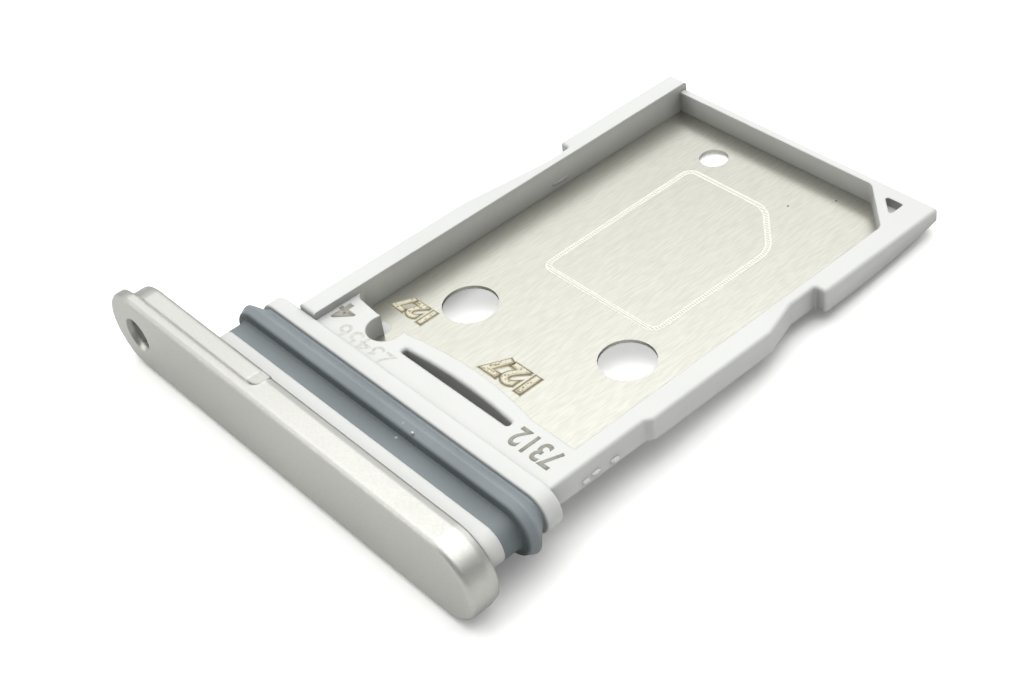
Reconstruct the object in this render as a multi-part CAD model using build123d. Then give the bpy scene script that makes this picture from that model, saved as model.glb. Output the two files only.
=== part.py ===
"""Nano card tray: metal head, moulded frame with a spring finger, sheet steel floor and sealing gasket.

Millimetres. X runs along the head, Y is the direction of insertion and Z is up.
The origin is in the middle of the tray's outline, level with the underside of the head.
"""
import math
import os

from build123d import *

# Card pocket
pocket_width = 8.87
pocket_length = 12.8
pocket_depth = 0.68
pocket_offset = 0.5
card_corner_x = 1.42
card_corner_y = 1.34
card_corner_round = 0.3

# Rails and far wall round the pocket
right_rail_width = 0.67
left_rail_width = 0.68
left_rail_rise = 0.24
far_wall_width = 0.28
rail_skirt = 0.05
rail_edge_round = 0.1
rail_corner_round = 0.08
root_relief = 0.14
root_relief_length = 3.13
root_relief_ramp = 0.2
root_relief_round = 0.12
lead_in_length = 3.6
lead_in_rise = 0.36

# Latch notches in the outer sides of the rails
latch_from_end = 4.65
latch_floor = 0.98
latch_depth = 0.36
right_latch_slope = 1.15
left_latch_slope = 2.8
latch_corner_round = 0.08

# Web between the pocket and the collar
web_length = 1.3
lip_length = 1.06
lip_slant = 0.1
lip_corner_round = 0.3
lip_notch_radius = 0.55
lip_notch_gap = 0.1
lip_notch_setback = 0.22

# Spring finger that pushes on the card
finger_length = 4.9
finger_bow = 0.26
finger_width = 0.51
finger_from_left = 4.87
finger_clearance = 0.03
slot_length = 4.22
slot_bow = 0.13
slot_end_gap = 0.15
slot_corner_round = 0.07
slot_corner_share = 0.45
slot_rim_round = 0.12

# Cored recess in the slanted corner
recess_inset_x = 0.15
recess_inset_y = 0.19
recess_leg_x = 0.66
recess_leg_y = 0.6
recess_depth = 0.28
recess_round = 0.07

# Collar, gasket seat, neck and tongue
neck_width = 11.55
neck_height = 1.12
neck_length = 0.48
collar_length = 0.52
collar_lip = 0.08
collar_edge_round = 0.06
gasket_length = 1.3
gasket_thickness = 0.22
gasket_lip_front = 0.55
gasket_lip_slant = 0.03
gasket_lip_shoulder = 0.22
gasket_crest = 0.31
gasket_crest_rise = 0.36
gasket_tail_gap = 0.07
gasket_lip_round = 0.08
gasket_foot_round = 0.04
gasket_rear_step = 0.03
tongue_width = 10.6
tongue_height = 0.66
tongue_length = 0.5
tongue_clearance = 0.03

# Sheet steel floor
plate_thickness = 0.11
plate_tuck = 0.2
plate_tuck_far = 0.14
plate_tuck_web = 0.95
plate_corner_round = 0.3
contact_hole_radius = 0.8
contact_hole_right = (1.93, 3.63)
contact_hole_left = (2.03, 2.4)
vent_hole_radius = 0.43
vent_hole = (2.49, 1.18)
lock_hole_radius = 0.27
lock_hole = (0.93, 0.12)

# Head
head_length = 15.9
head_height = 2.48
head_depth = 0.9
head_front_round = 0.16
face_plate_depth = 0.34
flange_inset = 0.56
head_lead_in = 0.2
head_lead_in_drop = 0.05
head_offset = 1.855
floor_height = 1.54
key_rise = 0.1
key_length = 6.62
key_ramp = 0.3
key_corner_round = 0.3
key_rear_round = 0.12
eject_from_end = 1.39
eject_bore_radius = 0.45
eject_mouth_radius = 0.56
eject_mouth_depth = 0.12

# Stations along Y, from the front of the head to the far end
overall_length = (
    head_depth + neck_length + gasket_length + collar_length + web_length + pocket_length + far_wall_width
)
head_front = -overall_length / 2
head_rear = head_front + head_depth
gasket_front = head_rear + neck_length
gasket_rear = gasket_front + gasket_length
collar_rear = gasket_rear + collar_length
pocket_near = collar_rear + web_length
pocket_far = pocket_near + pocket_length
far_end = pocket_far + far_wall_width

# Stations along X and Z
neck_x = head_offset
pocket_left = neck_x + pocket_offset - pocket_width / 2
pocket_right = pocket_left + pocket_width
rail_left = pocket_left - left_rail_width
rail_right = pocket_right + right_rail_width
plate_top = floor_height
plate_bottom = plate_top - plate_thickness
frame_bottom = plate_top - rail_skirt
web_top = plate_top + pocket_depth
neck_z = web_top - neck_height / 2
head_z = head_height / 2
flange_front = head_front + face_plate_depth
flange_depth = head_depth - face_plate_depth
flange_width = head_length - flange_inset
flange_left = flange_inset - head_length / 2
flange_x = flange_inset / 2
latch_step = far_end - latch_from_end
latch_floor_start = latch_step - latch_floor

# The finger's pocket side is one arc, and the slot behind it has a flatter one
finger_x = pocket_left + finger_from_left
finger_radius = ((finger_length / 2) ** 2 + finger_bow ** 2) / (2 * finger_bow)
finger_centre_y = pocket_near + finger_bow - finger_radius
slot_far = pocket_near + finger_bow - finger_width
slot_near = slot_far - slot_bow - slot_end_gap
slot_radius = ((slot_length / 2) ** 2 + slot_bow ** 2) / (2 * slot_bow)

# Floor outline, tucked under the rails, the far wall and the web
plate_left = pocket_left - plate_tuck
plate_right = pocket_right + plate_tuck
plate_near = pocket_near - plate_tuck_web
plate_far = pocket_far + plate_tuck_far
lock_x = pocket_left + lock_hole[0]
lock_y = pocket_near + lock_hole[1]


def lying_slot(width, height, front, depth, centre_x, centre_z, taper=0):
    """A round-ended bar along X that starts at y = front and runs back by depth."""
    plane = Plane(origin=(centre_x, front, centre_z), x_dir=(-1, 0, 0), z_dir=(0, 1, 0))
    return extrude(plane * SlotOverall(width, height), depth, taper=taper)


def block(x_range, y_range, z_range):
    """A box given by its limits."""
    size = [limits[1] - limits[0] for limits in (x_range, y_range, z_range)]
    middle = [(limits[1] + limits[0]) / 2 for limits in (x_range, y_range, z_range)]
    return Pos(*middle) * Box(*size)


def sheet(x_range, y_range):
    """A flat rectangle given by its limits."""
    middle = Pos((x_range[0] + x_range[1]) / 2, (y_range[0] + y_range[1]) / 2)
    return middle * Rectangle(x_range[1] - x_range[0], y_range[1] - y_range[0])


def rounded(face, corners, radius):
    """A flat face with the named corners rounded."""
    picked = [face.vertices().sort_by_distance(Vector(x, y, 0))[0] for x, y in corners]
    return fillet(picked, radius)


def raised(face, bottom, top):
    """A flat face drawn at z = 0, made solid between two heights."""
    return extrude(Pos(0, 0, bottom) * face, top - bottom)


def upright_pin(x, y, radius, bottom, top):
    """A round pin, or the tool for a round hole, along Z."""
    return raised(Pos(x, y) * Circle(radius), bottom, top)


def plate_outline():
    """The floor's outline, which the frame's rebate shares."""
    face = sheet((plate_left, plate_right), (plate_near, plate_far))
    return fillet(face.vertices(), plate_corner_round)


def make_plate():
    """Sheet steel floor with two contact holes, a vent hole and the hole that locks it to the frame."""
    plate = raised(plate_outline(), plate_bottom, plate_top)
    holes = [
        (pocket_right - contact_hole_right[0], pocket_near + contact_hole_right[1], contact_hole_radius),
        (pocket_left + contact_hole_left[0], pocket_near + contact_hole_left[1], contact_hole_radius),
        (pocket_left + vent_hole[0], pocket_far - vent_hole[1], vent_hole_radius),
        (lock_x, lock_y, lock_hole_radius),
    ]
    for x, y, radius in holes:
        plate -= upright_pin(x, y, radius, plate_bottom, plate_top)
    return plate


def deck_outline(near):
    """Outer outline of web, rails and far wall, with the latch notch in each rail."""
    root_x = rail_right - root_relief
    relief_end = collar_rear + root_relief_length
    right_slope_start = latch_floor_start - right_latch_slope
    left_slope_start = latch_floor_start - left_latch_slope
    right_notch = rail_right - latch_depth
    left_notch = rail_left + latch_depth
    right_side = [
        (root_x, near),
        (root_x, relief_end),
        (rail_right, relief_end + root_relief_ramp),
        (rail_right, right_slope_start),
        (right_notch, latch_floor_start),
        (right_notch, latch_step),
        (rail_right, latch_step),
        (rail_right, far_end),
    ]
    left_side = [
        (rail_left, far_end),
        (rail_left, latch_step),
        (left_notch, latch_step),
        (left_notch, latch_floor_start),
        (rail_left, left_slope_start),
        (rail_left, near),
    ]
    face = make_face(Polyline(*right_side, *left_side, close=True))
    face = rounded(face, [(rail_right, far_end), (rail_left, far_end)], rail_corner_round)
    face = rounded(face, [right_side[1], right_side[2]], root_relief_round)
    steps = [(x, latch_step) for x in (right_notch, rail_right, left_notch, rail_left)]
    return rounded(face, steps, latch_corner_round)


def pocket_outline():
    """The pocket as cut from the deck: slanted card corner, sloping lip, lip notch and the bowed finger."""
    lip_tip = pocket_left + lip_length
    notch_x = lip_tip + lip_notch_gap + lip_notch_radius
    corners = [
        (pocket_left, pocket_near + lip_slant),
        (lip_tip, pocket_near),
        (pocket_right, pocket_near),
        (pocket_right, pocket_far - card_corner_y),
        (pocket_right - card_corner_x, pocket_far),
        (pocket_left, pocket_far),
    ]
    face = make_face(Polyline(*corners, close=True))
    face = rounded(face, corners[3:5], card_corner_round)
    face = rounded(face, corners[:1], lip_corner_round)
    face += Pos(notch_x, pocket_near - lip_notch_setback) * Circle(lip_notch_radius)
    finger_ends = (finger_x - finger_length / 2, finger_x + finger_length / 2)
    bow = Pos(finger_x, finger_centre_y) * Circle(finger_radius)
    return face - (bow & sheet(finger_ends, (pocket_near, pocket_near + finger_bow)))


def slot_outline():
    """The slot that frees the finger: straight towards the head, bowed towards the card."""
    ends = (finger_x - slot_length / 2, finger_x + slot_length / 2)
    face = Pos(finger_x, slot_far - slot_radius) * Circle(slot_radius)
    face &= sheet(ends, (slot_near, slot_far))
    return fillet(face.vertices(), min(slot_corner_round, slot_corner_share * slot_end_gap))


def recess_outline():
    """Three-sided cored recess behind the slanted card corner."""
    right = pocket_right - recess_inset_x
    far = pocket_far - recess_inset_y
    corners = [(right, far), (right - recess_leg_x, far), (right, far - recess_leg_y)]
    return fillet(make_face(Polyline(*corners, close=True)).vertices(), recess_round)


def slot_rim(frame):
    """The edges round the slot's mouth."""
    reach = slot_length / 2 + slot_corner_round
    return frame.edges().filter_by_position(Axis.Z, web_top, web_top).filter_by(
        lambda edge: abs(edge.center().X - finger_x) < reach
        and slot_near - slot_corner_round < edge.center().Y < slot_far + slot_corner_round
    )


def lead_in(x_range):
    """The tool that lifts a rail's underside in an arc towards the far end."""
    start = far_end - lead_in_length
    radius = (lead_in_length ** 2 + lead_in_rise ** 2) / (2 * lead_in_rise)
    half_turn = math.asin(lead_in_length / radius) / 2
    middle = (start + radius * math.sin(half_turn), frame_bottom + radius * (1 - math.cos(half_turn)))
    low = (start, frame_bottom)
    high = (far_end, frame_bottom + lead_in_rise)
    side = Plane(origin=(x_range[0], 0, 0), x_dir=(0, 1, 0), z_dir=(1, 0, 0))
    outline = Polyline(low, (far_end, frame_bottom), high) + ThreePointArc(low, middle, high)
    return extrude(side * make_face(outline), x_range[1] - x_range[0])


def make_deck():
    """Web, rails and far wall in one, with the higher left rail."""
    top_left = web_top + left_rail_rise
    outline = deck_outline(collar_rear - collar_length / 2)
    low = raised(outline, frame_bottom, web_top)
    low = fillet(low.faces().sort_by(Axis.Z)[-1].outer_wire().edges(), rail_edge_round)
    left_strip = sheet((rail_left, pocket_left), (collar_rear, far_end))
    high = raised(outline & left_strip, frame_bottom, top_left)
    outer_edges = high.edges().group_by(Axis.Z)[-1].filter_by(
        lambda edge: edge.center().X < pocket_left - rail_edge_round
    )
    return low + fillet(outer_edges, rail_edge_round)


def make_frame():
    """The moulding: tongue, neck, gasket seat, collar and deck, cut for the card, finger and floor."""
    collar_width = neck_width + 2 * collar_lip
    collar_height = neck_height + 2 * collar_lip
    seat_width = neck_width - 2 * gasket_thickness
    seat_height = neck_height - 2 * gasket_thickness
    collar = lying_slot(collar_width, collar_height, gasket_rear, collar_length, neck_x, neck_z)
    rims = collar.edges().group_by(Axis.Y)
    collar = fillet(rims[0] + rims[-1], collar_edge_round)
    tongue_front = head_rear - tongue_length
    frame = make_deck() + collar
    frame += lying_slot(neck_width, neck_height, head_rear, neck_length, neck_x, neck_z)
    frame += lying_slot(seat_width, seat_height, gasket_front, gasket_length, neck_x, neck_z)
    frame += lying_slot(tongue_width, tongue_height, tongue_front, tongue_length, neck_x, neck_z)

    card_space = web_top + left_rail_rise
    frame -= raised(pocket_outline(), frame_bottom, card_space)
    frame -= raised(slot_outline(), frame_bottom, card_space)
    frame -= raised(recess_outline(), web_top - recess_depth, web_top)
    frame -= raised(plate_outline(), frame_bottom, plate_top)
    finger_span = (finger_x - slot_length / 2, finger_x + slot_length / 2)
    finger_reach = (slot_near, pocket_near + finger_bow)
    frame -= block(finger_span, finger_reach, (plate_top, plate_top + finger_clearance))
    frame -= lead_in((plate_right, rail_right)) + lead_in((rail_left, plate_left))
    frame = fillet(slot_rim(frame), slot_rim_round)
    return frame + upright_pin(lock_x, lock_y, lock_hole_radius, plate_bottom, plate_top)


def gasket_profile():
    """Half section of the gasket over its seat: flat band, steep lip front, crest and falling tail."""
    inner = neck_height / 2 - gasket_thickness
    outer = neck_height / 2
    lip_front = gasket_front + gasket_lip_front
    tail = gasket_rear - gasket_tail_gap
    rear = outer - gasket_rear_step
    points = [
        (gasket_front, inner),
        (gasket_front, outer),
        (lip_front, outer),
        (lip_front + gasket_lip_slant, outer + gasket_lip_shoulder),
        (lip_front + gasket_crest, outer + gasket_crest_rise),
        (tail, rear),
        (gasket_rear, rear),
        (gasket_rear, inner),
    ]
    face = make_face(Polyline(*points, close=True))
    face = rounded(face, points[3:5], gasket_lip_round)
    return rounded(face, [points[2], points[5]], gasket_foot_round)


def make_gasket():
    """Sealing ring: the section drawn along the seat's flat sides and turned about its two round ends."""
    straight = neck_width - neck_height
    right_end = neck_x + straight / 2
    left_end = neck_x - straight / 2
    section = Plane(origin=(right_end, 0, neck_z), x_dir=(0, 1, 0), z_dir=(1, 0, 0)) * gasket_profile()
    top = extrude(section, straight, dir=(-1, 0, 0))
    right = revolve(section, Axis((right_end, 0, neck_z), (0, 1, 0)), 180)
    turn = Pos(neck_x, 0, neck_z) * Rot(0, 180, 0) * Pos(-neck_x, 0, -neck_z)
    return top + right + turn * top + turn * right


def make_key():
    """Low strip on the flange, from the middle of its left end over the top to a ramp at the right."""
    left = flange_left - key_rise
    right = left + key_length
    key_top = head_height + key_rise
    strip_width = flange_width + 2 * key_rise
    strip_height = head_height + 2 * key_rise
    strip = lying_slot(strip_width, strip_height, flange_front, flange_depth, flange_x, head_z)
    strip = fillet(strip.edges().group_by(Axis.Y)[-1], key_rear_round)
    plan = sheet((left, right), (flange_front, head_rear))
    plan = rounded(plan, [(right, flange_front)], key_corner_round)
    ramp_head = right - key_ramp
    side = [(left, head_z), (left, key_top), (ramp_head, key_top), (right, head_height), (right, head_z)]
    front = Plane(origin=(0, flange_front, 0), x_dir=(1, 0, 0), z_dir=(0, -1, 0))
    ramp = make_face(front * Polyline(*side, close=True))
    return strip & raised(plan, head_z, key_top) & extrude(ramp, flange_depth, dir=(0, 1, 0))


def make_head():
    """Metal head: rounded face plate, flange with a tapered rear, key strip, eject hole, blind mortise."""
    straight_depth = flange_depth - head_lead_in
    lead_in_angle = math.degrees(math.atan2(head_lead_in_drop, head_lead_in))
    head = lying_slot(head_length, head_height, head_front, face_plate_depth, 0, head_z)
    head = fillet(head.edges().group_by(Axis.Y)[0], head_front_round)
    head += lying_slot(flange_width, head_height, flange_front, straight_depth, flange_x, head_z)
    taper_front = head_rear - head_lead_in
    head += lying_slot(flange_width, head_height, taper_front, head_lead_in, flange_x, head_z, lead_in_angle)
    head += make_key()

    mortise_depth = tongue_length + tongue_clearance
    head -= lying_slot(
        tongue_width + 2 * tongue_clearance,
        tongue_height + 2 * tongue_clearance,
        head_rear - mortise_depth,
        mortise_depth,
        neck_x,
        neck_z,
    )
    eject_x = -head_length / 2 + eject_from_end
    front = Plane(origin=(eject_x, head_front, head_z), x_dir=(-1, 0, 0), z_dir=(0, 1, 0))
    head -= extrude(front * Circle(eject_bore_radius), head_depth)
    mouth_angle = math.degrees(math.atan2(eject_mouth_radius - eject_bore_radius, eject_mouth_depth))
    return head - extrude(front * Circle(eject_mouth_radius), eject_mouth_depth, taper=mouth_angle)


parts = {
    "head": make_head(),
    "gasket": make_gasket(),
    "tray_frame": make_frame(),
    "floor_plate": make_plate(),
}
os.makedirs("parts", exist_ok=True)
for name, shape in parts.items():
    export_step(shape, f"parts/{name}.step")
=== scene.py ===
"""Looks of a nano card tray: finishes for its four pieces, laser and ink marks, and a pale studio stage."""
import math

import bpy
from mathutils import Matrix, Vector


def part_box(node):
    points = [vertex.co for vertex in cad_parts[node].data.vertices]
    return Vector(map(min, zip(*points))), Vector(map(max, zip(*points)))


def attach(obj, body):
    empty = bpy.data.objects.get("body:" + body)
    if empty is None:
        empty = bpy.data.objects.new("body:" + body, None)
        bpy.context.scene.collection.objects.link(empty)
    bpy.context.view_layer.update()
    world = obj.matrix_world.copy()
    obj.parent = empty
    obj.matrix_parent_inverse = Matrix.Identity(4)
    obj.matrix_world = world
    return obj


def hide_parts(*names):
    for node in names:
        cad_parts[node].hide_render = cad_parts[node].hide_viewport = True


bl_info = {
    "name": "Card Tray Looks",
    "version": (1, 0, 0),
    "blender": (4, 5, 0),
    "location": "View3D > Sidebar > Card Tray",
    "description": "Dresses a packed card tray with its finishes, marks and stage",
    "category": "Object",
}

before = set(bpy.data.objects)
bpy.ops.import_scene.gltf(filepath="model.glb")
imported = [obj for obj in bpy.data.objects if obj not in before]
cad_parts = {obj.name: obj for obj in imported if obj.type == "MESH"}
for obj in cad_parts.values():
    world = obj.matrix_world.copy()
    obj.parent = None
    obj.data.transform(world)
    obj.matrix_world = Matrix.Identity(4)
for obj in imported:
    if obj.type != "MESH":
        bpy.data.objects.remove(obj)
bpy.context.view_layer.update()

MM = 0.001
MICRON = 0.000001
BODY = "root"
plate_low, plate_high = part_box("floor_plate")
moulding_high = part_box("tray_frame")[1]
head_low, head_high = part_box("head")
gasket_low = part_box("gasket")[0]

# Sizes of the solids that the marks and finishes are placed by
LEFT_RAIL_RISE = 0.24 * MM
PLATE_TUCK = 0.2 * MM
PLATE_TUCK_WEB = 0.95 * MM
LIP_FOOT = 0.55 * MM
KEY_SIDE = 1.0 * MM

# Values between which a noise texture does most of its varying
NOISE_LOW = 0.3
NOISE_HIGH = 0.7

# Least share of the moulding's colour that its painted crevice shade leaves, on its walls and on faces that
# look up
WALL_LEAST = 0.5
TOP_LEAST = 0.8

# Distances from the plate's sides between which the glow of the floor below it rises
GLOW_START = 0.4 * MM
GLOW_FULL = 1.2 * MM

plate_top = plate_high.z
web_top = moulding_high.z - LEFT_RAIL_RISE
pocket_left = plate_low.x + PLATE_TUCK
pocket_near = plate_low.y + PLATE_TUCK_WEB


class TRAY_PG_finish(bpy.types.PropertyGroup):
    """Colours and surface sizes of the four pieces."""

    head_colour: bpy.props.FloatVectorProperty(
        name="Head", description="Anodised aluminium of the head", subtype="COLOR", size=3,
        min=0, max=1, default=(0.68, 0.68, 0.65))
    head_roughness: bpy.props.FloatProperty(
        name="Head roughness", description="Roughness of the blasted head", subtype="FACTOR",
        min=0, max=1, default=0.42)
    gasket_colour: bpy.props.FloatVectorProperty(
        name="Gasket", description="Blue-grey silicone of the band", subtype="COLOR", size=3,
        min=0, max=1, default=(0.209, 0.241, 0.256))
    # Painted light: the lip's silicone is given a paler colour to stand in for the light on its top.
    lip_painted_light_colour: bpy.props.FloatVectorProperty(
        name="Gasket lip", description="Silicone of the lip, paler as painted light", subtype="COLOR", size=3,
        min=0, max=1, default=(0.318, 0.357, 0.386))
    moulding_colour: bpy.props.FloatVectorProperty(
        name="Moulding", description="Light grey plastic of the frame", subtype="COLOR", size=3,
        min=0, max=1, default=(0.83, 0.84, 0.825))
    plate_colour: bpy.props.FloatVectorProperty(
        name="Plate", description="Brushed steel of the floor", subtype="COLOR", size=3,
        min=0, max=1, default=(0.603, 0.6, 0.546))
    plate_roughness: bpy.props.FloatProperty(
        name="Plate roughness", description="Roughness of the brushed floor", subtype="FACTOR",
        min=0, max=1, default=0.3)
    # Reach of the painted shade that darkens the moulding's inner corners.
    painted_shade_reach: bpy.props.FloatProperty(
        name="Crevice", description="Reach of the darkening in the moulding's inner corners", unit="LENGTH",
        min=0, default=0.75 * MM)
    edge_round: bpy.props.FloatProperty(
        name="Edge round", description="Softening of moulded and stamped edges", unit="LENGTH",
        min=0, default=0.07 * MM)


class TRAY_PG_marks(bpy.types.PropertyGroup):
    """Sizes of the laser marks and the printed numerals."""

    card_width: bpy.props.FloatProperty(
        name="Card mark width", description="Width of the card outline", unit="LENGTH", default=4.52 * MM)
    card_length: bpy.props.FloatProperty(
        name="Card mark length", description="Length of the card outline", unit="LENGTH", default=6.05 * MM)
    card_from_left: bpy.props.FloatProperty(
        name="From left", description="From the pocket's left side to the mark", unit="LENGTH",
        default=2.26 * MM)
    card_from_near: bpy.props.FloatProperty(
        name="From near", description="From the pocket's near side to the mark", unit="LENGTH",
        default=4.79 * MM)
    card_chamfer: bpy.props.FloatProperty(
        name="Chamfer", description="Cut corner of the card outline", unit="LENGTH", default=1.42 * MM)
    card_corner: bpy.props.FloatProperty(
        name="Corner", description="Rounding of the other corners", unit="LENGTH", default=0.38 * MM)
    line_width: bpy.props.FloatProperty(
        name="Line width", description="Width of the hatched laser line", unit="LENGTH", default=0.19 * MM)
    line_border: bpy.props.FloatProperty(
        name="Line border", description="Width of the bright pass along each side of the line", unit="LENGTH",
        default=0.05 * MM)
    hatch_pitch: bpy.props.FloatProperty(
        name="Hatch pitch", description="Step of the laser's strokes across the tray", unit="LENGTH",
        default=0.083 * MM)
    mark_height: bpy.props.FloatProperty(
        name="Mark height", description="Thickness of a mark on its surface", unit="LENGTH",
        default=0.003 * MM)


class TRAY_PG_stage(bpy.types.PropertyGroup):
    """Camera, floor and light."""

    azimuth: bpy.props.FloatProperty(
        name="Azimuth", description="Camera's turn round the tray", subtype="ANGLE",
        default=math.radians(53.957))
    elevation: bpy.props.FloatProperty(
        name="Elevation", description="Camera's height above the plate's plane", subtype="ANGLE",
        default=math.radians(40.85))
    roll: bpy.props.FloatProperty(
        name="Roll", description="Camera's turn about its own axis", subtype="ANGLE",
        default=math.radians(-8.667))
    distance: bpy.props.FloatProperty(
        name="Distance", description="From the camera to the point it looks at", unit="LENGTH",
        default=46.595 * MM)
    lens: bpy.props.FloatProperty(
        name="Lens", description="Focal length", unit="CAMERA", default=61.49)
    target: bpy.props.FloatVectorProperty(
        name="Target", description="Point on the plate's plane that the camera looks at",
        subtype="TRANSLATION", unit="LENGTH", size=3, default=(2.151 * MM, -2.311 * MM, 1.54 * MM))
    floor_colour: bpy.props.FloatVectorProperty(
        name="Floor", description="Pale paper under the tray", subtype="COLOR", size=3,
        min=0, max=1, default=(0.95, 0.95, 0.945))
    light_peak: bpy.props.FloatProperty(
        name="Light peak", description="Radiance in the middle of the overhead light", min=0, default=2.35)
    light_tilt: bpy.props.FloatProperty(
        name="Light tilt", description="Lean of the overhead light", subtype="ANGLE",
        default=math.radians(12))
    light_turn: bpy.props.FloatProperty(
        name="Light turn", description="Direction of the lean, from the head's right end", subtype="ANGLE",
        default=math.radians(130))
    light_edge: bpy.props.FloatProperty(
        name="Light edge", description="Cosine of the angle at which the overhead light fades out",
        min=-1, max=1, default=0.48)
    side_light: bpy.props.FloatProperty(
        name="Side light", description="Radiance of the low card in front of the head", min=0, default=2.0)
    side_share: bpy.props.FloatProperty(
        name="Side share", description="Share of the low card that lights surfaces without a gloss",
        subtype="FACTOR", min=0, max=1, default=0.42)
    side_edge: bpy.props.FloatProperty(
        name="Side edge", description="Cosine of the angle at which the low card fades out",
        min=-1, max=1, default=0.92)
    side_axis: bpy.props.FloatVectorProperty(
        name="Side axis", description="Direction of the low card", subtype="DIRECTION", size=3,
        default=(-0.628, -0.688, 0.364))
    ambient: bpy.props.FloatProperty(
        name="Ambient", description="Radiance from all round", min=0, default=0.04)
    mirror_fill: bpy.props.FloatProperty(
        name="Mirror fill", description="Least radiance that the metal mirrors", min=0,
        default=0.3)
    mirror_limit: bpy.props.FloatProperty(
        name="Mirror limit", description="Most radiance that the metal mirrors", min=0,
        default=2.0)
    floor_gain: bpy.props.FloatProperty(
        name="Floor gain", description="Brightness of the floor where the camera sees it", min=0,
        default=1.34)
    floor_glow: bpy.props.FloatProperty(
        name="Floor glow", description="Light added to the floor where the camera sees it", min=0,
        default=0.13)
    under_glow: bpy.props.FloatProperty(
        name="Under glow", description="Light added to the floor that shows through the plate's holes", min=0,
        default=0.44)
    floor_bounce: bpy.props.FloatProperty(
        name="Floor bounce", description="Share of the floor's colour that lights the tray",
        subtype="FACTOR", min=0, max=1, default=0.8)


class Nodes:
    """Short forms for building a node tree."""

    def __init__(self, tree):
        self.tree = tree

    def add(self, kind, inputs=None, **settings):
        """A node with its settings, and with its inputs linked or set."""
        made = self.tree.nodes.new(kind)
        for key, value in settings.items():
            setattr(made, key, value)
        for key, value in (inputs or {}).items():
            self.feed(value, made.inputs[key])
        return made

    def feed(self, value, socket):
        """Links an output to a socket, or sets the socket to a plain value."""
        if isinstance(value, bpy.types.NodeSocket):
            self.tree.links.new(value, socket)
        else:
            socket.default_value = value

    def maths(self, operation, first, second=0.0):
        """One step of arithmetic on one or two values."""
        return self.add("ShaderNodeMath", {0: first, 1: second}, operation=operation).outputs[0]

    def spread(self, value, low, high, to_low=0.0, to_high=1.0, steps="SMOOTHSTEP"):
        """A value's place between two others, carried over to a new range."""
        made = self.add("ShaderNodeMapRange", interpolation_type=steps)
        for socket, given in zip(made.inputs[:5], (value, low, high, to_low, to_high)):
            self.feed(given, socket)
        return made.outputs[0]

    def mix_colour(self, share, first, second):
        """A share of the way from one colour to another."""
        made = self.add("ShaderNodeMix", data_type="RGBA")
        for name, given in (("Factor", share), ("A", first), ("B", second)):
            sockets = [s for s in made.inputs if s.name == name and s.enabled]
            self.feed(given, sockets[0])
        return [s for s in made.outputs if s.enabled][0]


def rgba(colour, tint=1.0):
    """A colour with alpha, lightened or darkened."""
    return (*[min(1.0, part * tint) for part in colour], 1.0)


def group_tree(name, inputs, outputs):
    """A new shader group with named float inputs and outputs."""
    tree = bpy.data.node_groups.new(name, "ShaderNodeTree")
    for label, value in inputs.items():
        socket = tree.interface.new_socket(label, in_out="INPUT", socket_type="NodeSocketFloat")
        socket.default_value = value
    for label in outputs:
        tree.interface.new_socket(label, in_out="OUTPUT", socket_type="NodeSocketFloat")
    nodes = Nodes(tree)
    return nodes, nodes.add("NodeGroupInput"), nodes.add("NodeGroupOutput")


def fine_grain_group():
    """Fine pebbled skin and slow drift of tone, as on moulded plastic, silicone and blasted metal."""
    nodes, given, result = group_tree("fine_grain", {"Grain Scale": 9000.0, "Drift Scale": 300.0},
                                      ["Grain", "Drift"])
    place = nodes.add("ShaderNodeTexCoord").outputs["Object"]
    grain = nodes.add("ShaderNodeTexNoise", {"Vector": place, "Scale": given.outputs["Grain Scale"],
                                             "Detail": 3.0, "Roughness": 0.6})
    drift = nodes.add("ShaderNodeTexNoise", {"Vector": place, "Scale": given.outputs["Drift Scale"],
                                             "Detail": 2.0, "Roughness": 0.5})
    nodes.feed(grain.outputs["Fac"], result.inputs["Grain"])
    nodes.feed(drift.outputs["Fac"], result.inputs["Drift"])
    return nodes.tree


def specks_group():
    """Small round specks: sparse for dust, in every cell for laser dots."""
    nodes, given, result = group_tree("dust_specks", {"Scale": 1800.0, "Share": 0.06, "Size": 0.16}, ["Mask"])
    place = nodes.add("ShaderNodeTexCoord").outputs["Object"]
    cells = nodes.add("ShaderNodeTexVoronoi", {"Vector": place, "Scale": given.outputs["Scale"]})
    pick = nodes.add("ShaderNodeSeparateColor", {"Color": cells.outputs["Color"]})
    chosen = nodes.maths("LESS_THAN", pick.outputs["Red"], given.outputs["Share"])
    size = nodes.maths("MULTIPLY", given.outputs["Size"], nodes.maths("ADD", pick.outputs["Green"], 0.4))
    inside = nodes.spread(cells.outputs["Distance"], size, nodes.maths("MULTIPLY", size, 0.5))
    nodes.feed(nodes.maths("MULTIPLY", chosen, inside), result.inputs["Mask"])
    return nodes.tree


def shared_group(name, maker):
    """A node group that is built once."""
    return bpy.data.node_groups.get(name) or maker()


def empty_material(name):
    """A material with no nodes yet."""
    material = bpy.data.materials.new(name)
    material.use_nodes = True
    material.node_tree.nodes.clear()
    return material, Nodes(material.node_tree)


def new_material(name):
    """A material with its shader and output."""
    material, nodes = empty_material(name)
    shader = nodes.add("ShaderNodeBsdfPrincipled")
    nodes.add("ShaderNodeOutputMaterial", {"Surface": shader.outputs["BSDF"]})
    return material, nodes, shader


def group_of(nodes, tree, values):
    """A group placed in a material with its own values."""
    made = nodes.tree.nodes.new("ShaderNodeGroup")
    made.node_tree = tree
    for label, value in values.items():
        made.inputs[label].default_value = value
    return made.outputs


def bump_of(nodes, height, depth, edge_round=0.0):
    """A bump of a given depth, on edges that look softened where a radius is given."""
    bump = nodes.add("ShaderNodeBump", {"Height": height, "Distance": depth})
    if edge_round:
        soft = nodes.add("ShaderNodeBevel", {"Radius": edge_round}, samples=6)
        nodes.feed(soft.outputs["Normal"], bump.inputs["Normal"])
    return bump.outputs["Normal"]


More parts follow.
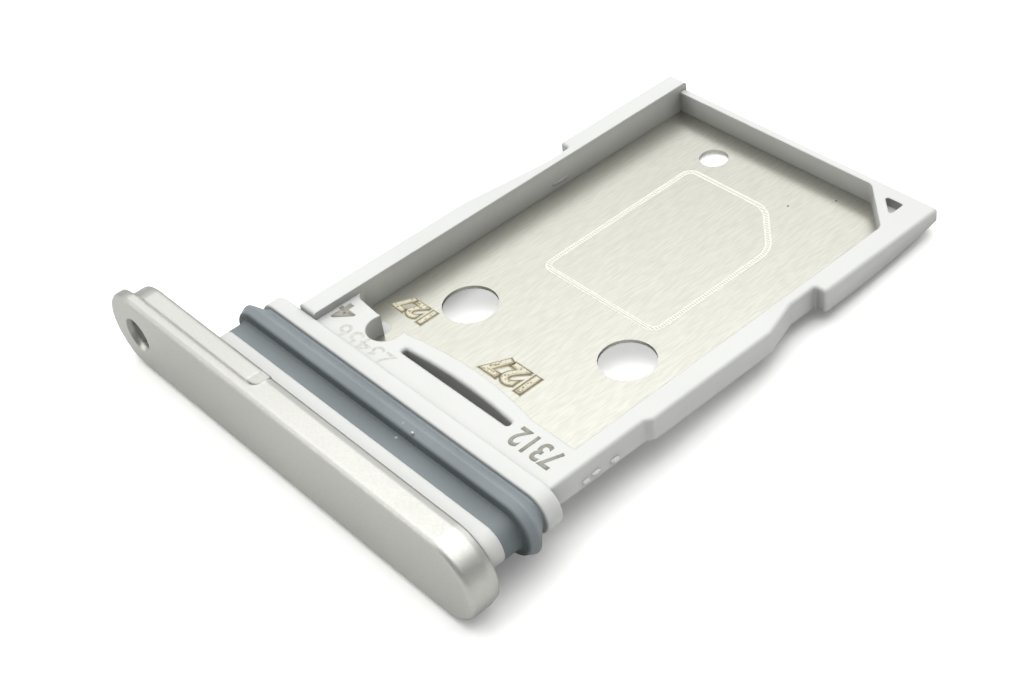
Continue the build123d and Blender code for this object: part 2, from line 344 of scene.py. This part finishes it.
def aluminium_material(finish):
    """Blasted and anodised aluminium, with painted shade on the end face of the key strip."""
    material, nodes, shader = new_material("blasted_aluminium")
    skin = group_of(nodes, shared_group("fine_grain", fine_grain_group),
                    {"Grain Scale": 14000.0, "Drift Scale": 220.0})
    tone = nodes.spread(skin["Drift"], NOISE_LOW, NOISE_HIGH)
    grains = nodes.spread(skin["Grain"], NOISE_LOW, NOISE_HIGH)
    body = nodes.mix_colour(tone, rgba(finish.head_colour, 0.97), rgba(finish.head_colour, 1.02))
    body = nodes.mix_colour(nodes.maths("MULTIPLY", grains, 0.12), body, rgba(finish.head_colour, 0.8))
    coordinates = nodes.add("ShaderNodeTexCoord").outputs
    across = nodes.add("ShaderNodeSeparateXYZ", {"Vector": coordinates["Object"]}).outputs["X"]
    facing = nodes.add("ShaderNodeSeparateXYZ", {"Vector": coordinates["Normal"]}).outputs["X"]
    # Painted shade: the key strip's end face, which looks towards +X, is darkened to hold back its highlight.
    key_end_painted_shade = nodes.maths("MULTIPLY", nodes.spread(facing, 0.15, 0.35), nodes.spread(across, KEY_SIDE, 0.0))
    nodes.feed(nodes.mix_colour(key_end_painted_shade, body, rgba(finish.head_colour, 0.62)), shader.inputs["Base Color"])
    rough = finish.head_roughness
    nodes.feed(nodes.spread(skin["Grain"], NOISE_LOW, NOISE_HIGH, rough - 0.05, rough + 0.07),
               shader.inputs["Roughness"])
    nodes.feed(bump_of(nodes, skin["Grain"], 1.6 * MICRON, 1.5 * finish.edge_round), shader.inputs["Normal"])
    shader.inputs["Metallic"].default_value = 1.0
    return material


def silicone_material(finish):
    """Satin silicone: a dark band with painted shade that deepens towards the lip's foot, painted light on
    the paler lip, and a little dust.
    """
    material, nodes, shader = new_material("grey_silicone")
    skin = group_of(nodes, shared_group("fine_grain", fine_grain_group),
                    {"Grain Scale": 8000.0, "Drift Scale": 400.0})
    dust = group_of(nodes, shared_group("dust_specks", specks_group),
                    {"Scale": 3200.0, "Share": 0.05, "Size": 0.2})["Mask"]
    place = nodes.add("ShaderNodeTexCoord").outputs["Object"]
    along = nodes.add("ShaderNodeSeparateXYZ", {"Vector": place}).outputs["Y"]
    foot = gasket_low.y + LIP_FOOT
    # Painted shade: the band is lighter by the neck and darker at the lip's foot, where the lip shades it.
    depth = nodes.spread(along, gasket_low.y, foot)
    band = nodes.mix_colour(depth, rgba(finish.gasket_colour, 1.15), rgba(finish.gasket_colour, 0.75))
    # Painted light: the lip takes the paler colour, standing in for the light that falls on its top.
    lip = nodes.spread(along, foot + 0.02 * MM, foot + 0.12 * MM)
    body = nodes.mix_colour(lip, band, rgba(finish.lip_painted_light_colour))
    tone = nodes.spread(skin["Drift"], 0.25, 0.75, 0.0, 0.12)
    body = nodes.mix_colour(tone, body, (0.0, 0.0, 0.0, 1.0))
    nodes.feed(nodes.mix_colour(nodes.maths("MULTIPLY", dust, 0.5), body, (0.62, 0.64, 0.65, 1.0)),
               shader.inputs["Base Color"])
    nodes.feed(nodes.spread(skin["Grain"], NOISE_LOW, NOISE_HIGH, 0.42, 0.58), shader.inputs["Roughness"])
    nodes.feed(bump_of(nodes, skin["Grain"], 3.0 * MICRON), shader.inputs["Normal"])
    shader.inputs["Specular IOR Level"].default_value = 0.4
    return material


def plastic_material(finish):
    """Moulded light grey plastic with a fine spark-eroded skin, and painted shade in its crevices."""
    material, nodes, shader = new_material("moulded_plastic")
    skin = group_of(nodes, shared_group("fine_grain", fine_grain_group),
                    {"Grain Scale": 7000.0, "Drift Scale": 260.0})
    dust = group_of(nodes, shared_group("dust_specks", specks_group),
                    {"Scale": 900.0, "Share": 0.04, "Size": 0.06})["Mask"]
    tone = nodes.spread(skin["Drift"], 0.25, 0.75)
    body = nodes.mix_colour(tone, rgba(finish.moulding_colour, 0.975), rgba(finish.moulding_colour, 1.02))
    # Painted shade: ambient occlusion darkens the base colour in crevices, less on walls and least on faces
    # that look up.
    crevice_painted_shade = nodes.add("ShaderNodeAmbientOcclusion", {"Distance": finish.painted_shade_reach}, samples=8)
    normal = nodes.add("ShaderNodeNewGeometry").outputs["Normal"]
    facing = nodes.add("ShaderNodeSeparateXYZ", {"Vector": normal})
    least = nodes.spread(facing.outputs["Z"], 0.3, 0.9, WALL_LEAST, TOP_LEAST)
    shade = nodes.maths("MAXIMUM", crevice_painted_shade.outputs["AO"], least)
    body = nodes.mix_colour(shade, (0.0, 0.0, 0.0, 1.0), body)
    nodes.feed(nodes.mix_colour(nodes.maths("MULTIPLY", dust, 0.45), body, (0.42, 0.40, 0.36, 1.0)),
               shader.inputs["Base Color"])
    nodes.feed(nodes.spread(skin["Grain"], NOISE_LOW, NOISE_HIGH, 0.40, 0.54), shader.inputs["Roughness"])
    nodes.feed(bump_of(nodes, skin["Grain"], 2.5 * MICRON, finish.edge_round), shader.inputs["Normal"])
    return material


def steel_material(finish):
    """Sheet steel with short, fine brush lines along the tray."""
    material, nodes, shader = new_material("brushed_steel")
    place = nodes.add("ShaderNodeTexCoord").outputs["Object"]
    stretched = nodes.add("ShaderNodeMapping", {"Vector": place, "Scale": (34000.0, 2400.0, 34000.0)})
    lines = nodes.add("ShaderNodeTexNoise", {"Vector": stretched.outputs["Vector"], "Scale": 1.0,
                                             "Detail": 1.0, "Roughness": 0.5}).outputs["Fac"]
    broad = nodes.add("ShaderNodeMapping", {"Vector": place, "Scale": (9000.0, 700.0, 9000.0)})
    bands = nodes.add("ShaderNodeTexNoise", {"Vector": broad.outputs["Vector"], "Scale": 1.0,
                                             "Detail": 1.0}).outputs["Fac"]
    strokes = nodes.maths("ADD", nodes.maths("MULTIPLY", lines, 0.85), nodes.maths("MULTIPLY", bands, 0.15))
    tone = nodes.spread(strokes, 0.33, 0.67)
    nodes.feed(nodes.mix_colour(tone, rgba(finish.plate_colour, 0.94), rgba(finish.plate_colour, 1.05)),
               shader.inputs["Base Color"])
    rough = finish.plate_roughness
    nodes.feed(nodes.spread(strokes, 0.36, 0.64, rough + 0.02, rough - 0.02), shader.inputs["Roughness"])
    nodes.feed(bump_of(nodes, strokes, 0.25 * MICRON), shader.inputs["Normal"])
    nodes.feed(nodes.add("ShaderNodeTangent", direction_type="RADIAL", axis="Y").outputs[0],
               shader.inputs["Tangent"])
    shader.inputs["Metallic"].default_value = 1.0
    shader.inputs["Anisotropic"].default_value = 0.6
    return material


def plain_mark_material(name, colour, roughness, scale):
    """A mark with a little unevenness: pale etched steel or ink."""
    material, nodes, shader = new_material(name)
    skin = group_of(nodes, shared_group("fine_grain", fine_grain_group),
                    {"Grain Scale": scale, "Drift Scale": 900.0})
    tone = nodes.spread(skin["Grain"], 0.32, 0.68)
    nodes.feed(nodes.mix_colour(tone, rgba(colour, 0.86), rgba(colour, 1.08)), shader.inputs["Base Color"])
    shader.inputs["Roughness"].default_value = roughness
    return material


def hatch_material(name, pale, shade, pitch, roughness):
    """A laser line: strokes across the tray at a fixed pitch."""
    material, nodes, shader = new_material(name)
    place = nodes.add("ShaderNodeTexCoord").outputs["Object"]
    apart = nodes.add("ShaderNodeSeparateXYZ", {"Vector": place})
    turn = nodes.maths("MULTIPLY", apart.outputs["Y"], 2 * math.pi / pitch)
    stroke = nodes.spread(nodes.maths("SINE", turn), -0.5, 0.6)
    nodes.feed(nodes.mix_colour(stroke, rgba(shade), rgba(pale)), shader.inputs["Base Color"])
    shader.inputs["Roughness"].default_value = roughness
    return material


def dotted_material(name, dot, ground, scale, roughness):
    """A laser pass that leaves dots in a tone of their own."""
    material, nodes, shader = new_material(name)
    dots = group_of(nodes, shared_group("dust_specks", specks_group),
                    {"Scale": scale, "Share": 1.0, "Size": 0.5})["Mask"]
    nodes.feed(nodes.mix_colour(dots, rgba(ground), rgba(dot)), shader.inputs["Base Color"])
    shader.inputs["Roughness"].default_value = roughness
    return material


def settle(piece, material):
    """Gives a finished piece its material and makes it ride on the tray."""
    piece.data.materials.clear()
    piece.data.materials.append(material)
    return riding(piece)


def riding(piece):
    """Makes a piece ride on the tray."""
    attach(piece, BODY)
    return piece


def dressed(node, name, material):
    """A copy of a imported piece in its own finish, which stands for it."""
    piece = bpy.data.objects.new(name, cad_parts[node].data.copy())
    bpy.context.scene.collection.objects.link(piece)
    settle(piece, material)
    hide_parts(node)
    return piece


class TRAY_OT_head(bpy.types.Operator):
    """Dress the metal head"""

    bl_idname = "tray.head"
    bl_label = "Head"

    def execute(self, context):
        finish = context.scene.tray_finish
        dressed("head", "bezel_head", aluminium_material(finish))
        return {"FINISHED"}


class TRAY_OT_gasket(bpy.types.Operator):
    """Dress the silicone gasket"""

    bl_idname = "tray.gasket"
    bl_label = "Gasket"

    def execute(self, context):
        finish = context.scene.tray_finish
        dressed("gasket", "seal_gasket", silicone_material(finish))
        return {"FINISHED"}


class TRAY_OT_moulding(bpy.types.Operator):
    """Dress the moulded frame"""

    bl_idname = "tray.moulding"
    bl_label = "Moulded frame"

    def execute(self, context):
        finish = context.scene.tray_finish
        dressed("tray_frame", "moulded_frame", plastic_material(finish))
        return {"FINISHED"}


class TRAY_OT_plate(bpy.types.Operator):
    """Dress the sheet steel floor"""

    bl_idname = "tray.plate"
    bl_label = "Floor plate"

    def execute(self, context):
        finish = context.scene.tray_finish
        dressed("floor_plate", "steel_floor", steel_material(finish))
        return {"FINISHED"}


class TRAY_OT_card_mark(bpy.types.Operator):
    """Engrave the card's outline on the plate"""

    bl_idname = "tray.card_mark"
    bl_label = "Card outline"

    def execute(self, context):
        marks = context.scene.tray_marks
        left = pocket_left + marks.card_from_left
        near = pocket_near + marks.card_from_near
        centre = Vector((left + marks.card_width / 2, near + marks.card_length / 2, plate_top))
        bpy.ops.object.select_all(action="DESELECT")
        bpy.ops.mesh.primitive_plane_add(size=1.0)
        piece = context.active_object
        piece.name = "card_outline_mark"
        piece.scale = (marks.card_width, marks.card_length, 1.0)
        piece.location = centre
        bpy.ops.object.transform_apply(location=True, rotation=True, scale=True)
        pale = (0.97, 0.96, 0.87)
        shade = (0.66, 0.65, 0.57)
        piece.data.materials.append(plain_mark_material("laser_border", pale, 0.5, 12000.0))
        piece.data.materials.append(hatch_material("laser_hatch", pale, shade, marks.hatch_pitch, 0.5))
        bpy.ops.object.mode_set(mode="EDIT")
        bpy.ops.mesh.select_mode(type="VERT")
        self.round_corners(piece, centre, marks)
        bpy.ops.mesh.select_all(action="SELECT")
        widths = (marks.line_border, marks.line_width - 2 * marks.line_border, marks.line_border)
        for width, inner in zip(widths, (1, 0, 0)):
            bpy.ops.mesh.inset(thickness=width, depth=0.0)
            piece.active_material_index = inner
            bpy.ops.object.material_slot_assign()
        bpy.ops.mesh.delete(type="ONLY_FACE")
        bpy.ops.mesh.select_all(action="SELECT")
        bpy.ops.mesh.extrude_region_move(TRANSFORM_OT_translate={"value": (0, 0, marks.mark_height)})
        bpy.ops.mesh.select_all(action="SELECT")
        bpy.ops.mesh.normals_make_consistent(inside=False)
        bpy.ops.object.mode_set(mode="OBJECT")
        riding(piece)
        return {"FINISHED"}

    def round_corners(self, piece, centre, marks):
        """Cuts the far right corner and rounds the others."""
        for cut in (True, False):
            bpy.ops.mesh.select_all(action="DESELECT")
            bpy.ops.object.mode_set(mode="OBJECT")
            for vertex in piece.data.vertices:
                corner = vertex.co.x > centre.x and vertex.co.y > centre.y
                vertex.select = corner if cut else True
            bpy.ops.object.mode_set(mode="EDIT")
            if cut:
                bpy.ops.mesh.bevel(offset=marks.card_chamfer, segments=1, affect="VERTICES")
            else:
                bpy.ops.mesh.bevel(offset=marks.card_corner, segments=5, affect="VERTICES")


def flat_numerals(name, text, size, centre, grow, outer_grow, lift, material):
    """Numerals of a given size lying on a surface, read from the far end of the tray."""
    bpy.ops.object.select_all(action="DESELECT")
    bpy.ops.object.text_add(location=(0, 0, 0))
    piece = bpy.context.active_object
    piece.name = name
    letters = piece.data
    letters.body = text
    letters.size = 1.0
    letters.resolution_u = 6
    letters.offset = grow
    bpy.ops.object.convert(target="MESH")
    piece = bpy.context.active_object
    bpy.ops.object.origin_set(type="ORIGIN_GEOMETRY", center="BOUNDS")
    spare = 2 * (outer_grow - grow)
    scale = [wanted / (drawn + spare) for wanted, drawn in zip(size, piece.dimensions)]
    bpy.ops.object.mode_set(mode="EDIT")
    bpy.ops.mesh.select_all(action="SELECT")
    bpy.ops.mesh.extrude_region_move(TRANSFORM_OT_translate={"value": (0, 0, lift)})
    bpy.ops.mesh.select_all(action="SELECT")
    bpy.ops.mesh.normals_make_consistent(inside=False)
    bpy.ops.object.mode_set(mode="OBJECT")
    piece.scale = (*scale, 1.0)
    piece.rotation_euler = (0, 0, math.pi)
    piece.location = centre
    bpy.ops.object.transform_apply(location=True, rotation=True, scale=True)
    return settle(piece, material)


class TRAY_OT_numerals(bpy.types.Operator):
    """Mark the plate and the moulding with plain numerals"""

    bl_idname = "tray.numerals"
    bl_label = "Numerals"

    def execute(self, context):
        self.burn_plate(context.scene.tray_marks.mark_height)
        self.print_web(context.scene.tray_marks.mark_height)
        return {"FINISHED"}

    def burn_plate(self, height):
        """Laser numerals on the plate: tan halo, burnt outline, pale pass and dotted core."""
        char = (0.36, 0.31, 0.19)
        cream = (0.80, 0.765, 0.60)
        outline = 0.075
        tan = plain_mark_material("laser_halo", (0.76, 0.71, 0.52), 0.5, 12000.0)
        burnt = plain_mark_material("laser_burn", char, 0.5, 16000.0)
        pale = plain_mark_material("laser_pass", cream, 0.45, 16000.0)
        dotted = dotted_material("laser_dots", char, cream, 11000.0, 0.45)
        layers = (("halo", 0.1, tan), ("outline", outline, burnt), ("pass", 0.035, pale),
                  ("core", 0.0, dotted))
        words = (("right", "127", (2.05, 3.75), (-3.47, -2.61)),
                 ("left", "127", (-1.82, -0.41), (-3.4, -2.7)))
        for label, text, across, along in words:
            size, centre = self.field(across, along, plate_top)
            for step, (layer, grow, material) in enumerate(layers):
                lift = height * (step + 1)
                flat_numerals(f"plate_{label}_{layer}", text, size, centre, grow, outline, lift, material)

    def print_web(self, height):
        """Plain grey numerals on the moulding."""
        ink = plain_mark_material("grey_ink", (0.42, 0.41, 0.36), 0.6, 16000.0)
        faint = plain_mark_material("faint_ink", (0.70, 0.70, 0.67), 0.6, 9000.0)
        words = (("word", "7312", (5.25, 6.80), (-5.25, -4.55), 0.02, ink),
                 ("single", "4", (-2.02, -1.42), (-5.2, -4.5), 0.03, ink),
                 ("code", "23456", (-1.36, 0.84), (-5.67, -5.06), 0.0, faint))
        for label, text, across, along, grow, material in words:
            size, centre = self.field(across, along, web_top)
            flat_numerals(f"web_{label}", text, size, centre, grow, grow, height, material)

    def field(self, across, along, level):
        """Size and centre, in metres, of a word's place given in millimetres."""
        size = ((across[1] - across[0]) * MM, (along[1] - along[0]) * MM)
        centre = Vector((sum(across) / 2 * MM, sum(along) / 2 * MM, level))
        return size, centre


class TRAY_OT_crumbs(bpy.types.Operator):
    """Add the moulding's flash and a few grains of dust"""

    bl_idname = "tray.crumbs"
    bl_label = "Flash and dust"

    def execute(self, context):
        plastic = bpy.data.materials["moulded_plastic"]
        pale = plain_mark_material("pale_dust", (0.88, 0.89, 0.90), 0.7, 20000.0)
        dark = plain_mark_material("dark_dust", (0.12, 0.11, 0.10), 0.8, 20000.0)
        crumbs = (
            ("rail_flash_1", (7.325, -4.5, 1.66), (0.09, 0.12, 0.05), pale, "tray_frame"),
            ("rail_flash_2", (7.325, -4.15, 1.71), (0.08, 0.16, 0.045), pale, "tray_frame"),
            ("rail_flash_3", (7.325, -3.52, 1.66), (0.1, 0.14, 0.06), pale, "tray_frame"),
            ("wall_flash", (-2.075, 3.45, 1.77), (0.012, 0.4, 0.06), plastic, "tray_frame"),
            ("lip_dust", (3.6, -6.76, 2.52), (0.05, 0.035, 0.04), pale, "gasket"),
            ("plate_dust_1", (3.652, 6.95, plate_top / MM), (0.03, 0.035, 0.01), dark, "floor_plate"),
            ("plate_dust_2", (4.536, 7.985, plate_top / MM), (0.03, 0.03, 0.01), dark, "floor_plate"),
        )
        for seed, (name, centre, size, material, slot) in enumerate(crumbs):
            self.crumb(context, name, Vector(centre) * MM, Vector(size) * MM, material, slot, seed)
        return {"FINISHED"}

    def crumb(self, context, name, centre, size, material, slot, seed):
        """A small uneven lump."""
        bpy.ops.object.select_all(action="DESELECT")
        bpy.ops.mesh.primitive_ico_sphere_add(subdivisions=3, radius=1.0)
        piece = context.active_object
        piece.name = name
        bpy.ops.object.mode_set(mode="EDIT")
        bpy.ops.mesh.select_all(action="SELECT")
        bpy.ops.transform.vertex_random(offset=0.3, normal=0.6, seed=seed)
        bpy.ops.mesh.vertices_smooth(factor=0.5, repeat=2)
        bpy.ops.object.mode_set(mode="OBJECT")
        bpy.ops.object.shade_smooth()
        piece.scale = size
        piece.location = centre
        bpy.ops.object.transform_apply(location=True, rotation=True, scale=True)
        settle(piece, material)


def floor_plane():
    """The floor under the resting tray: a point on it and its slope along the tray."""
    heel = Vector((0.0, head_high.y, head_low.z))
    toe = Vector((0.0, plate_high.y, plate_low.z))
    return heel, math.atan2(toe.z - heel.z, toe.y - heel.y)


class TRAY_OT_stage(bpy.types.Operator):
    """Set the floor, the light and the camera"""

    bl_idname = "tray.stage"
    bl_label = "Stage"

    def execute(self, context):
        stage = context.scene.tray_stage
        self.lay_floor(context, stage)
        self.light(context, stage)
        self.place_camera(context, stage)
        context.scene.view_settings.view_transform = "Standard"
        return {"FINISHED"}

    def lay_floor(self, context, stage):
        """A wide pale sheet on which the head's heel and the far end rest."""
        heel, slope = floor_plane()
        bpy.ops.object.select_all(action="DESELECT")
        bpy.ops.mesh.primitive_plane_add(size=2.0, location=heel, rotation=(slope, 0, 0))
        floor = context.active_object
        floor.name = "paper_floor"
        material, nodes = empty_material("pale_paper")
        skin = group_of(nodes, shared_group("fine_grain", fine_grain_group),
                        {"Grain Scale": 2500.0, "Drift Scale": 120.0})
        tone = nodes.spread(skin["Grain"], NOISE_LOW, NOISE_HIGH)
        paper = nodes.mix_colour(tone, rgba(stage.floor_colour, 0.985), rgba(stage.floor_colour, 1.015))
        lifted = nodes.add("ShaderNodeVectorMath", {0: paper, "Scale": stage.floor_gain}, operation="SCALE")
        dimmed = rgba(stage.floor_colour, stage.floor_bounce)
        seen = nodes.add("ShaderNodeLightPath").outputs["Is Camera Ray"]
        shown = nodes.mix_colour(seen, dimmed, lifted.outputs["Vector"])
        sheet = nodes.add("ShaderNodeBsdfDiffuse", {"Color": shown})
        lit = nodes.maths("ADD", self.under_plate(nodes, stage.under_glow), stage.floor_glow)
        glow = nodes.add("ShaderNodeEmission", {"Strength": nodes.maths("MULTIPLY", seen, lit)})
        both = nodes.add("ShaderNodeAddShader", {0: sheet.outputs[0], 1: glow.outputs[0]})
        nodes.add("ShaderNodeOutputMaterial", {"Surface": both.outputs[0]})
        floor.data.materials.append(material)

    def under_plate(self, nodes, strength):
        """A value that is set on the floor below the plate and falls to nothing at its sides."""
        place = nodes.add("ShaderNodeNewGeometry").outputs["Position"]
        apart = nodes.add("ShaderNodeSeparateXYZ", {"Vector": place})
        value = strength
        for axis in ("X", "Y"):
            low = getattr(plate_low, axis.lower())
            high = getattr(plate_high, axis.lower())
            rise = nodes.spread(apart.outputs[axis], low + GLOW_START, low + GLOW_FULL)
            fall = nodes.spread(apart.outputs[axis], high - GLOW_START, high - GLOW_FULL)
            value = nodes.maths("MULTIPLY", value, nodes.maths("MULTIPLY", rise, fall))
        return value

    def light(self, context, stage):
        """A soft overhead light that fades towards the horizon, and a low white card in front of the head."""
        world = bpy.data.worlds.new("soft_tent")
        world.use_nodes = True
        world.node_tree.nodes.clear()
        nodes = Nodes(world.node_tree)
        lean = math.sin(stage.light_tilt)
        turn = stage.light_turn
        axis = (lean * math.cos(turn), lean * math.sin(turn), math.cos(stage.light_tilt))
        overhead = self.lobe(nodes, axis, stage.light_edge, stage.light_peak)
        card = self.lobe(nodes, stage.side_axis, stage.side_edge, stage.side_light)
        tent = nodes.maths("ADD", overhead, stage.ambient)
        light = nodes.maths("ADD", tent, nodes.maths("MULTIPLY", card, stage.side_share))
        mirrored = nodes.maths("MAXIMUM", nodes.maths("ADD", tent, card), stage.mirror_fill)
        mirrored = nodes.maths("MINIMUM", mirrored, stage.mirror_limit)
        rays = nodes.add("ShaderNodeLightPath").outputs
        strength = nodes.spread(rays["Is Glossy Ray"], 0.0, 1.0, light, mirrored, "LINEAR")
        seen = rays["Is Camera Ray"]
        lit = nodes.add("ShaderNodeBackground", {"Color": (1.0, 1.0, 0.985, 1.0), "Strength": strength})
        white = nodes.add("ShaderNodeBackground", {"Color": (1.0, 1.0, 1.0, 1.0), "Strength": 1.0})
        both = nodes.add("ShaderNodeMixShader", {0: seen, 1: lit.outputs[0], 2: white.outputs[0]})
        nodes.add("ShaderNodeOutputWorld", {"Surface": both.outputs[0]})
        context.scene.world = world

    def lobe(self, nodes, axis, edge, peak):
        """Light that is strongest along an axis and fades out round it."""
        direction = nodes.add("ShaderNodeTexCoord").outputs["Generated"]
        nearness = nodes.add("ShaderNodeVectorMath", {0: direction, 1: tuple(axis)}, operation="DOT_PRODUCT")
        return nodes.spread(nearness.outputs["Value"], edge, 1.0, 0.0, peak)

    def place_camera(self, context, stage):
        """The photo's viewpoint."""
        turn = stage.azimuth
        rise = stage.elevation
        back = Vector((math.sin(turn) * math.cos(rise), -math.cos(turn) * math.cos(rise), math.sin(rise)))
        lens = bpy.data.cameras.new("tray_camera")
        lens.lens = stage.lens
        lens.sensor_width = 36.0
        lens.clip_start = 1.0 * MM
        lens.clip_end = 10.0
        camera = bpy.data.objects.new("tray_camera", lens)
        context.scene.collection.objects.link(camera)
        level = (-back).to_track_quat("-Z", "Y").to_matrix().to_4x4()
        place = Matrix.Translation(Vector(stage.target) + back * stage.distance)
        camera.matrix_world = place @ level @ Matrix.Rotation(stage.roll, 4, "Z")
        context.scene.camera = camera


class TRAY_PT_panel(bpy.types.Panel):
    """Card tray tools"""

    bl_idname = "TRAY_PT_panel"
    bl_label = "Card Tray"
    bl_space_type = "VIEW_3D"
    bl_region_type = "UI"
    bl_category = "Card Tray"

    def draw(self, context):
        for step in STEPS:
            self.layout.operator(step.bl_idname)


GROUPS = (("tray_finish", TRAY_PG_finish), ("tray_marks", TRAY_PG_marks), ("tray_stage", TRAY_PG_stage))
STEPS = (
    TRAY_OT_head,
    TRAY_OT_gasket,
    TRAY_OT_moulding,
    TRAY_OT_plate,
    TRAY_OT_card_mark,
    TRAY_OT_numerals,
    TRAY_OT_crumbs,
    TRAY_OT_stage,
)


def register():
    for name, group in GROUPS:
        bpy.utils.register_class(group)
        setattr(bpy.types.Scene, name, bpy.props.PointerProperty(type=group))
    for step in (*STEPS, TRAY_PT_panel):
        bpy.utils.register_class(step)


def unregister():
    for step in (TRAY_PT_panel, *reversed(STEPS)):
        bpy.utils.unregister_class(step)
    for name, group in reversed(GROUPS):
        delattr(bpy.types.Scene, name)
        bpy.utils.unregister_class(group)


def main():
    register()
    bpy.ops.tray.head()
    bpy.ops.tray.gasket()
    bpy.ops.tray.moulding()
    bpy.ops.tray.plate()
    bpy.ops.tray.card_mark()
    bpy.ops.tray.numerals()
    bpy.ops.tray.crumbs()
    bpy.ops.tray.stage()


if __name__ == "__main__":
    main()
